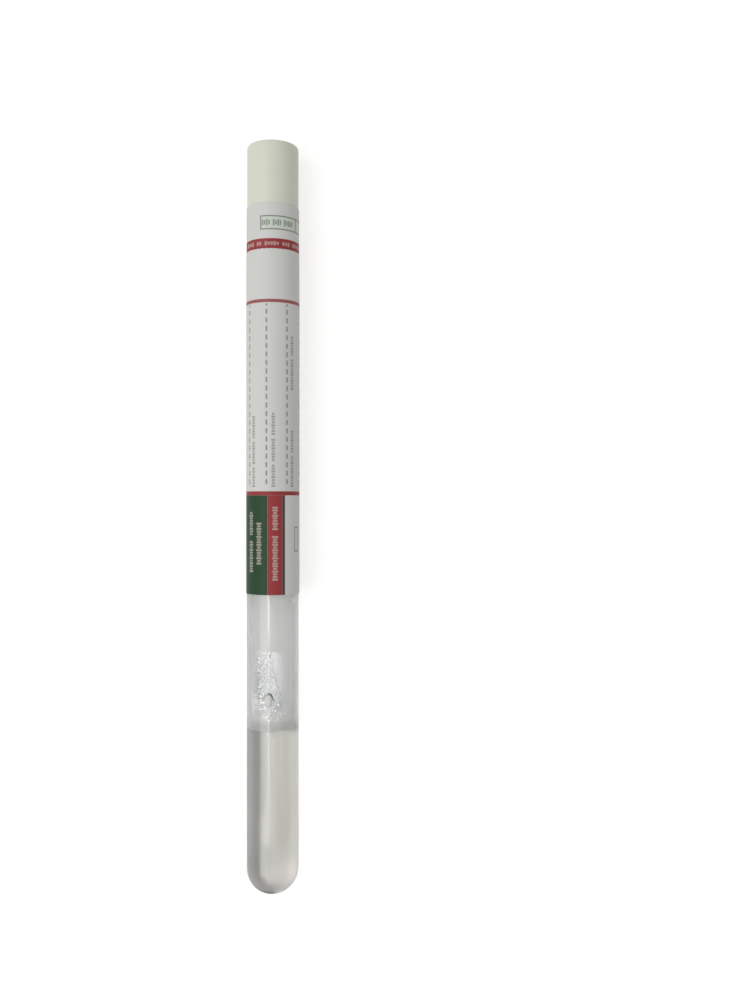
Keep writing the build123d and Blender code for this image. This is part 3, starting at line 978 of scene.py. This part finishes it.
offset = maths(tree, "SUBTRACT", degrees, LINE_ANGLE)
offset = maths(tree, "WRAP", offset, LINE_PITCH / 2, -LINE_PITCH / 2)
dotted = strip(tree, offset, 0.0, LINE_HALF_WIDTH, DEGREE_EDGE)
beat = maths(tree, "FRACT", maths(tree, "DIVIDE", below, DOT_PITCH))
dotted = both(tree, dotted, span(tree, beat, DOT_START, DOT_END, DOT_EDGE))
dotted = both(tree, dotted, span(tree, below, LINES_FROM, LINES_TO, EDGE))
captions = blocks(tree, degrees, below, CAPTIONS, half_width=3.4, pitch=0.66, soft=0.5)
grey = either(tree, both(tree, dotted, LINE_STRENGTH), both(tree, captions, CAPTION_STRENGTH))
colour = blended(tree, grey, colour, GREY_INK)

for left, right, ink in PANEL_FIELDS:
    in_field = field(tree, place, left, right, PANEL_FROM, PANEL_TO)
    colour = blended(tree, in_field, colour, ink)
words = blocks(tree, degrees, below, PANEL_WORDS, half_width=5.2, pitch=0.61, soft=1.2)
colour = blended(tree, both(tree, words, WORD_STRENGTH), colour, PALE_INK)

box_line = maths(tree, "SUBTRACT", field(tree, place, *LABEL_BOX),
                 field(tree, place, *LABEL_BOX_INSIDE))
colour = blended(tree, both(tree, box_line, BOX_STRENGTH), colour, GREY_INK)

thin_ring = strip(tree, below, THIN_RING, THIN_RING_HALF, EDGE)
thin_ring = both(tree, thin_ring, THIN_RING_STRENGTH)
wide_ring = strip(tree, below, WIDE_RING, WIDE_RING_HALF, EDGE)
colour = blended(tree, either(tree, thin_ring, wide_ring), colour, RED_INK)
paper_material(tree, colour)

label_sleeve = paper_sleeve(
    OUTER_RADIUS + GLUE_GAP, LABEL_RADIUS, label_low.y, label_high.y,
    rows=36, torn_low=0, torn_high=1, thinned=THINNED_BY)
label = make_piece("label_wrap", *label_sleeve, label_print, "tube", "label_paper")
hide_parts("label")


# ---------------------------------------------------------------------------------------------
# The tamper seal: the end of the same printed wrap, glued to the cap's grip. It carries a red band
# and a ruled box, and tears from the label along the perforation when the cap is pulled.

seal_low, seal_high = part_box("tamper_seal")
SEAL_RADIUS = GRIP_RADIUS + 0.15 * MM

# Its print is in degrees from overhead and mm above the mouth.
BOX_TINT = (0.60, 0.66, 0.60)
SEAL_BOX, SEAL_BOX_INSIDE = (-22.5, 101.0, 4.35, 7.65), (-19.7, 98.0, 4.65, 7.35)
DIVIDER, DIVIDER_HALF = 63.0, 1.4
BOX_WORDS = [(6.0, -4, 0, 1, 5, 6, 11)]
BAND, BAND_HALF = 1.2, 1.15
BAND_WORDS = [
    (BAND, -24, -20, -19, -15, -14, -11, -10, -6, -5, -3, -2, 3, 4, 7, 8, 13, 14, 18, 19, 24)]
SEAL_BOX_STRENGTH, BOX_WORD_STRENGTH, BAND_WORD_STRENGTH = 0.85, 0.72, 0.6

seal_print, tree = new_material("printed seal paper")
degrees, below = wrap_place(tree)
above = maths(tree, "MULTIPLY", below, -1.0)
place = degrees, above
colour = bare_paper(tree)

box = field(tree, place, *SEAL_BOX)
in_box = field(tree, place, *SEAL_BOX_INSIDE)
divider = strip(tree, degrees, DIVIDER, DIVIDER_HALF, DEGREE_EDGE)
in_box = both(tree, in_box, maths(tree, "SUBTRACT", 1.0, divider))
colour = blended(tree, in_box, colour, BOX_TINT)
box_line = maths(tree, "SUBTRACT", box, in_box)
colour = blended(tree, both(tree, box_line, SEAL_BOX_STRENGTH), colour, GREY_INK)
words = blocks(tree, above, degrees, BOX_WORDS, half_width=0.62, pitch=4.85, soft=0.12)
colour = blended(tree, both(tree, words, BOX_WORD_STRENGTH), colour, GREY_INK)

colour = blended(tree, strip(tree, above, BAND, BAND_HALF, EDGE), colour, RED_INK)
words = blocks(tree, above, degrees, BAND_WORDS, half_width=0.40, pitch=6.4, soft=0.1)
colour = blended(tree, both(tree, words, BAND_WORD_STRENGTH), colour, PALE_INK)
paper_material(tree, colour)

seal_sleeve = paper_sleeve(
    GRIP_RADIUS + GLUE_GAP, SEAL_RADIUS, seal_low.y, seal_high.y,
    rows=10, torn_low=1, torn_high=0, thinned=0)
seal = make_piece("tamper_seal_wrap", *seal_sleeve, seal_print, "swab", "label_paper")
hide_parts("tamper_seal")
